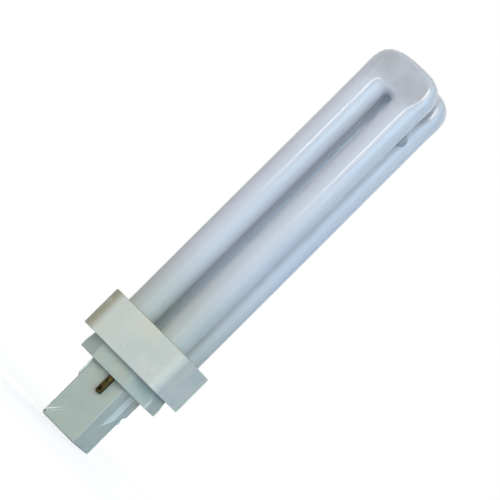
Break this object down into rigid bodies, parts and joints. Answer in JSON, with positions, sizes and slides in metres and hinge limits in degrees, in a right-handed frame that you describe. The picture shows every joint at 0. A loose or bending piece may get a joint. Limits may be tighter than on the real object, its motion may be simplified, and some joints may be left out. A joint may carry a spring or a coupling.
{
  "type": "u shaped fluorescent bulb",
  "caption": "Compact fluorescent lamp: paired U shaped glass tubes in a square block, over a hollow post with contact pins.",
  "frame": {"origin": "on the lamp's axis, at the height of the cap's seat, which is the underside of the tier", "axes": "+Z along the lamp towards the bends, +X across the two limbs of one U, +Y from the front U to the rear U"},
  "size_m": [0.035, 0.035, 0.1662],
  "materials": {
    "tube_glass": "gloss, milky powder coat inside",
    "silicone": "satin",
    "holder_plastic": "satin moulded",
    "cement": "matt",
    "cap_plastic": "satin moulded",
    "pin_brass": "dull, darkened",
    "lead_wire": "drawn",
    "sleeve": "woven glass, matt",
    "ferrule": "tinned",
    "starter_glass": "clear",
    "fine_wire": "tinned",
    "capacitor_dip": "dipped"
  },
  "bodies": {
    "root": {"discharge_tube": "tube_glass", "tube_spacer": "silicone", "tube_holder": "holder_plastic", "holder_cement": "cement", "cap_body": "cap_plastic", "contact_pin_front": "pin_brass", "contact_pin_rear": "pin_brass", "pin_lead_front": "lead_wire", "pin_lead_rear": "lead_wire", "pin_sleeve_front": "sleeve", "pin_sleeve_rear": "sleeve", "starter_lead_front": "lead_wire", "starter_lead_rear": "lead_wire", "splice_front": "ferrule", "splice_rear": "ferrule", "starter_bulb": "starter_glass", "starter_wire_front": "fine_wire", "starter_wire_rear": "fine_wire", "suppression_capacitor": "capacitor_dip", "capacitor_wire_front": "fine_wire", "capacitor_wire_rear": "fine_wire"}
  },
  "joints": []
}
